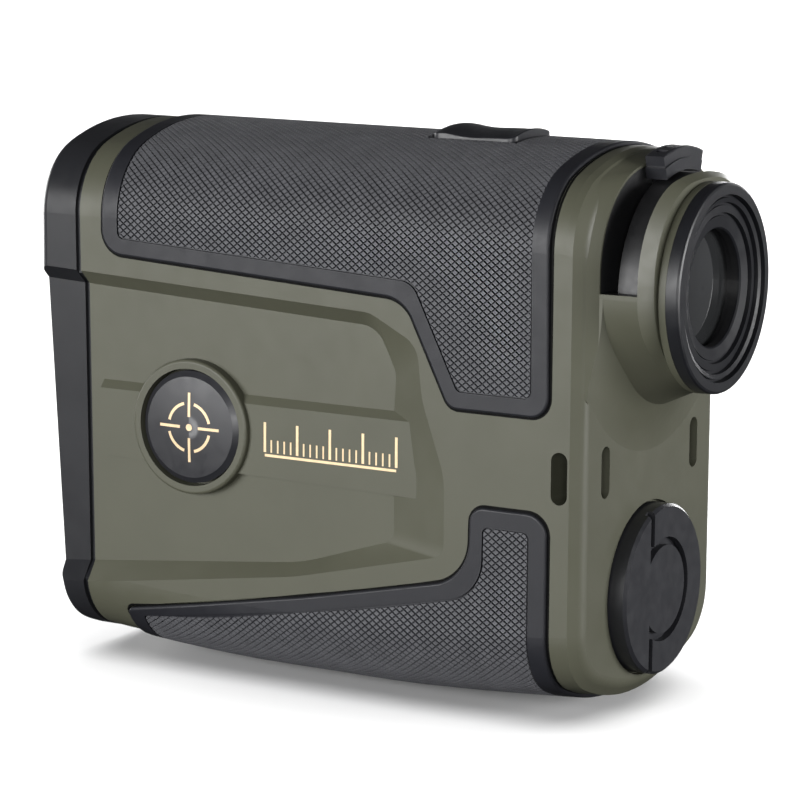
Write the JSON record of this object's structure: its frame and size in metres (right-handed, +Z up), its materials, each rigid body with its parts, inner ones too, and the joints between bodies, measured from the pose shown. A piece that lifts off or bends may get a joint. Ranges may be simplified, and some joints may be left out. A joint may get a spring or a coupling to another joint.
{
  "type": "laser rangefinder",
  "caption": "Hand-held monocular laser rangefinder with knurled wrap-round grip pads, dioptre lever, push buttons, screw-in battery cap and internal optics.",
  "frame": {"origin": "centre of the bounding box, on the flat underside that the body rests on", "axes": "+Z up, +Y towards the target along the optical axis, +X to the user's right"},
  "size_m": [0.0418, 0.097, 0.0781],
  "materials": {
    "olive_shell": "fine matt soft-touch paint, olive green",
    "bezel_black": "satin black",
    "grip_rubber": "matt black with a fine diamond knurl",
    "soft_rubber": "matt black",
    "black_plastic": "satin black",
    "black_anodised": "matt black anodised aluminium",
    "coated_glass": "polished, coated",
    "clear_glass": "polished",
    "steel": "plated",
    "circuit_board": "green solder mask",
    "switch_body": "moulded black",
    "cell_wrap": "plain wrap with no text"
  },
  "bodies": {
    "housing": {"body_shell": "olive_shell", "flange_ring": "olive_shell", "front_bezel": "bezel_black", "upper_grip_pad": "grip_rubber", "lower_grip_pad": "grip_rubber", "eyecup": "soft_rubber", "bezel_seal": "soft_rubber", "slot_liner": "black_plastic", "battery_tube": "black_plastic", "eyepiece_tube": "black_plastic", "objective_cell": "black_anodised", "receiver_cell": "black_anodised", "receiver_barrel": "black_anodised", "objective_retainer": "black_anodised", "receiver_retainer": "black_anodised", "front_plate": "black_anodised", "prism_chassis": "black_anodised", "chassis_rail": "black_anodised", "laser_holder": "black_anodised", "ocular_guide": "black_anodised", "display_frame": "black_anodised", "objective_lens": "coated_glass", "receiver_lens": "coated_glass", "eye_lens": "coated_glass", "objective_rear_lens": "clear_glass", "half_prism": "clear_glass", "roof_prism": "clear_glass", "display_panel": "clear_glass", "plate_screws": "steel", "chassis_screws": "steel", "tube_contact": "steel", "laser_diode": "steel", "receiver_diode": "steel", "main_board": "circuit_board", "switch_board": "circuit_board", "mode_switch_board": "circuit_board", "receiver_board": "circuit_board", "power_switch": "switch_body", "mode_switch": "switch_body", "battery_cell": "cell_wrap"},
    "power_button": {"power_button": "black_plastic"},
    "mode_button": {"mode_button": "black_plastic", "mode_button_clip": "steel"},
    "dioptre_ring": {"dioptre_ring": "black_anodised", "dioptre_lever": "black_plastic"},
    "ocular": {"ocular_cell": "black_anodised", "field_lens": "clear_glass"},
    "cap_carrier": {"cap_seal_ring": "soft_rubber"},
    "battery_cap": {"battery_cap": "black_plastic", "cap_contact": "steel"}
  },
  "joints": [
    {"name": "power_button_press", "type": "slide", "parent": "housing", "child": "power_button", "axis": [0, 0, -1], "range_m": [0, 0.0008], "stiffness_N_per_m": 900, "springref_m": -0.0003},
    {"name": "mode_button_press", "type": "slide", "parent": "housing", "child": "mode_button", "axis": [1, 0, 0], "range_m": [0, 0.0006], "stiffness_N_per_m": 900, "springref_m": -0.0003},
    {"name": "dioptre_turn", "type": "hinge", "parent": "housing", "child": "dioptre_ring", "pos_m": [0, -0.04055, 0.0583], "axis": [0, 1, 0], "range_deg": [-66, 66]},
    {"name": "ocular_slide", "type": "slide", "parent": "housing", "child": "ocular", "axis": [0, -1, 0], "range_m": [-0.0015, 0.0015]},
    {"name": "cap_travel", "type": "slide", "parent": "housing", "child": "cap_carrier", "axis": [0, -1, 0], "range_m": [0, 0.003]},
    {"name": "cap_turn", "type": "hinge", "parent": "cap_carrier", "child": "battery_cap", "pos_m": [0, -0.04055, 0.01666], "axis": [0, -1, 0], "range_deg": [0, 1080]}
  ],
  "couplings": [
    {"joint": "ocular_slide", "follows": "dioptre_turn", "m_per_rad": 0.0013},
    {"joint": "cap_travel", "follows": "cap_turn", "m_per_rad": 0.000159}
  ]
}
